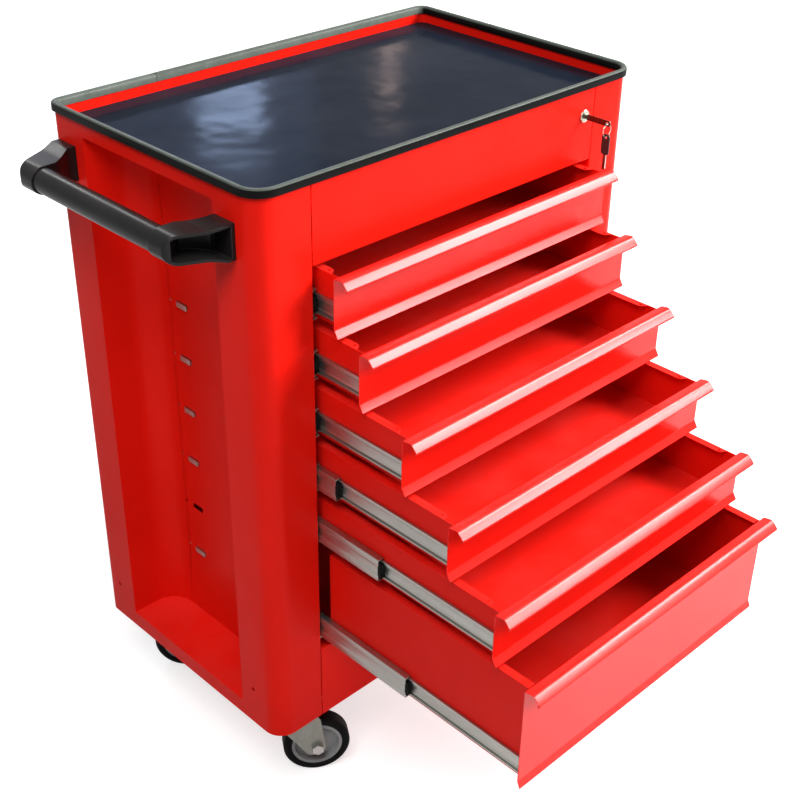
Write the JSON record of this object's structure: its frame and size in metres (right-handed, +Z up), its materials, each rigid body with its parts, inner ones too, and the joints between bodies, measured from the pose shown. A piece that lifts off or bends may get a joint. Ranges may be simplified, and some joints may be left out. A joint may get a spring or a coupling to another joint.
{
  "type": "rolling tool cabinet",
  "caption": "Rolling steel tool cabinet with sliding drawers, matted top tray, side wells, side push handle, front lock, and swivel and fixed castors.",
  "frame": {"origin": "centre of the bounding box on the floor, with the drawers as far out as in the picture", "axes": "+X to the cabinet's right, +Y to its back, +Z up; the drawers open towards -Y and the handle is on the -X side"},
  "size_m": [0.765, 0.81, 0.964],
  "materials": {
    "red_paint": "smooth gloss powder coat, bright red",
    "well_paint": "smooth gloss powder coat, bright red",
    "tray_paint": "smooth gloss powder coat, bright red",
    "drawer_front_paint": "smooth gloss powder coat, bright red",
    "drawer_tray_paint": "smooth gloss powder coat, bright red",
    "slide_zinc": "zinc-plated rolled steel, slightly mottled",
    "trim_rubber": "black edge trim with a soft shine",
    "mat_rubber": "black mat, fine grain, dull shine",
    "handle_black": "black moulded plastic, satin",
    "castor_zinc": "zinc-plated pressed steel",
    "bolt_steel": "zinc-plated steel",
    "hub_grey": "grey moulded plastic",
    "tyre_black": "black solid rubber",
    "lock_chrome": "polished chrome",
    "key_steel": "nickel-plated steel, worn warm",
    "key_black": "black moulded head on a steel blade"
  },
  "bodies": {
    "cabinet": {"side_panel_left": "red_paint", "side_panel_right": "red_paint", "side_well_left": "well_paint", "side_well_right": "well_paint", "back_panel": "red_paint", "base_pan": "red_paint", "plinth_panel": "red_paint", "fascia": "red_paint", "top_tray": "tray_paint", "rim_trim": "trim_rubber", "worktop_mat": "mat_rubber", "handle_tube": "handle_black", "handle_brackets": "handle_black", "cabinet_slides": "slide_zinc", "swivel_castor_plates": "castor_zinc", "fixed_castor_forks": "castor_zinc", "castor_bolts": "bolt_steel", "lock_barrel": "lock_chrome"},
    "swivel_front_left": {"swivel_fork_front_left": "castor_zinc", "axle_bolt_front_left": "bolt_steel"},
    "wheel_front_left": {"hub_front_left": "hub_grey", "tyre_front_left": "tyre_black"},
    "swivel_rear_left": {"swivel_fork_rear_left": "castor_zinc", "axle_bolt_rear_left": "bolt_steel"},
    "wheel_rear_left": {"hub_rear_left": "hub_grey", "tyre_rear_left": "tyre_black"},
    "wheel_front_right": {"hub_front_right": "hub_grey", "tyre_front_right": "tyre_black"},
    "wheel_rear_right": {"hub_rear_right": "hub_grey", "tyre_rear_right": "tyre_black"},
    "rail_1": {"slide_rails_1": "slide_zinc"},
    "drawer_1": {"drawer_tray_1": "drawer_tray_paint", "drawer_front_1": "drawer_front_paint", "drawer_runners_1": "slide_zinc"},
    "rail_2": {"slide_rails_2": "slide_zinc"},
    "drawer_2": {"drawer_tray_2": "drawer_tray_paint", "drawer_front_2": "drawer_front_paint", "drawer_runners_2": "slide_zinc"},
    "rail_3": {"slide_rails_3": "slide_zinc"},
    "drawer_3": {"drawer_tray_3": "drawer_tray_paint", "drawer_front_3": "drawer_front_paint", "drawer_runners_3": "slide_zinc"},
    "rail_4": {"slide_rails_4": "slide_zinc"},
    "drawer_4": {"drawer_tray_4": "drawer_tray_paint", "drawer_front_4": "drawer_front_paint", "drawer_runners_4": "slide_zinc"},
    "rail_5": {"slide_rails_5": "slide_zinc"},
    "drawer_5": {"drawer_tray_5": "drawer_tray_paint", "drawer_front_5": "drawer_front_paint", "drawer_runners_5": "slide_zinc"},
    "rail_6": {"slide_rails_6": "slide_zinc"},
    "drawer_6": {"drawer_tray_6": "drawer_tray_paint", "drawer_front_6": "drawer_front_paint", "drawer_runners_6": "slide_zinc"},
    "lock_cylinder": {"lock_plug": "lock_chrome", "lock_key": "key_steel"},
    "lock_bar": {"lock_bar": "bolt_steel"},
    "hanging_ring": {"key_ring": "key_steel"},
    "hanging_key": {"spare_key": "key_black", "spare_key_blade": "key_steel"}
  },
  "joints": [
    {"name": "swivel_front_left", "type": "hinge", "parent": "cabinet", "child": "swivel_front_left", "pos_m": [-0.2375, 0.03102, 0.128], "axis": [0, 0, 1], "continuous": true},
    {"name": "wheel_front_left", "type": "hinge", "parent": "swivel_front_left", "child": "wheel_front_left", "pos_m": [-0.20899, 0.0125, 0.05], "axis": [0.5446, 0.8387, 0], "continuous": true},
    {"name": "swivel_rear_left", "type": "hinge", "parent": "cabinet", "child": "swivel_rear_left", "pos_m": [-0.2375, 0.35302, 0.128], "axis": [0, 0, 1], "continuous": true},
    {"name": "wheel_rear_left", "type": "hinge", "parent": "swivel_rear_left", "child": "wheel_rear_left", "pos_m": [-0.21184, 0.33072, 0.05], "axis": [0.6561, 0.7547, 0], "continuous": true},
    {"name": "wheel_front_right", "type": "hinge", "parent": "cabinet", "child": "wheel_front_right", "pos_m": [0.3145, 0.03102, 0.05], "axis": [0, 1, 0], "continuous": true},
    {"name": "wheel_rear_right", "type": "hinge", "parent": "cabinet", "child": "wheel_rear_right", "pos_m": [0.3145, 0.35302, 0.05], "axis": [0, 1, 0], "continuous": true},
    {"name": "rail_1", "type": "slide", "parent": "cabinet", "child": "rail_1", "axis": [0, -1, 0], "range_m": [0, 0.19]},
    {"name": "drawer_1", "type": "slide", "parent": "rail_1", "child": "drawer_1", "axis": [0, -1, 0], "range_m": [-0.0329, 0.1571]},
    {"name": "rail_2", "type": "slide", "parent": "cabinet", "child": "rail_2", "axis": [0, -1, 0], "range_m": [0, 0.19]},
    {"name": "drawer_2", "type": "slide", "parent": "rail_2", "child": "drawer_2", "axis": [0, -1, 0], "range_m": [-0.0769, 0.1131]},
    {"name": "rail_3", "type": "slide", "parent": "cabinet", "child": "rail_3", "axis": [0, -1, 0], "range_m": [0, 0.19]},
    {"name": "drawer_3", "type": "slide", "parent": "rail_3", "child": "drawer_3", "axis": [0, -1, 0], "range_m": [-0.1516, 0.0384]},
    {"name": "rail_4", "type": "slide", "parent": "cabinet", "child": "rail_4", "axis": [0, -1, 0], "range_m": [-0.0414, 0.1486]},
    {"name": "drawer_4", "type": "slide", "parent": "rail_4", "child": "drawer_4", "axis": [0, -1, 0], "range_m": [-0.19, 0]},
    {"name": "rail_5", "type": "slide", "parent": "cabinet", "child": "rail_5", "axis": [0, -1, 0], "range_m": [-0.1211, 0.0689]},
    {"name": "drawer_5", "type": "slide", "parent": "rail_5", "child": "drawer_5", "axis": [0, -1, 0], "range_m": [-0.19, 0]},
    {"name": "rail_6", "type": "slide", "parent": "cabinet", "child": "rail_6", "axis": [0, -1, 0], "range_m": [-0.1743, 0.0157]},
    {"name": "drawer_6", "type": "slide", "parent": "rail_6", "child": "drawer_6", "axis": [0, -1, 0], "range_m": [-0.19, 0]},
    {"name": "lock_bar_lift", "type": "slide", "parent": "cabinet", "child": "lock_bar", "axis": [0, 0, 1], "range_m": [0, 0.007]},
    {"name": "lock_turn", "type": "hinge", "parent": "cabinet", "child": "lock_cylinder", "pos_m": [0.2765, -0.01698, 0.9146], "axis": [0, 1, 0], "range_deg": [0, 92]},
    {"name": "ring_swing", "type": "hinge", "parent": "lock_cylinder", "child": "hanging_ring", "pos_m": [0.2765, -0.05798, 0.9133], "axis": [1, 0, 0], "range_deg": [-12, 12]},
    {"name": "key_swing", "type": "hinge", "parent": "hanging_ring", "child": "hanging_key", "pos_m": [0.2765, -0.05798, 0.8963], "axis": [1, 0, 0], "range_deg": [-12, 12]}
  ],
  "couplings": [
    {"joint": "lock_turn", "follows": "lock_bar_lift", "rad_per_m": 224.4}
  ]
}
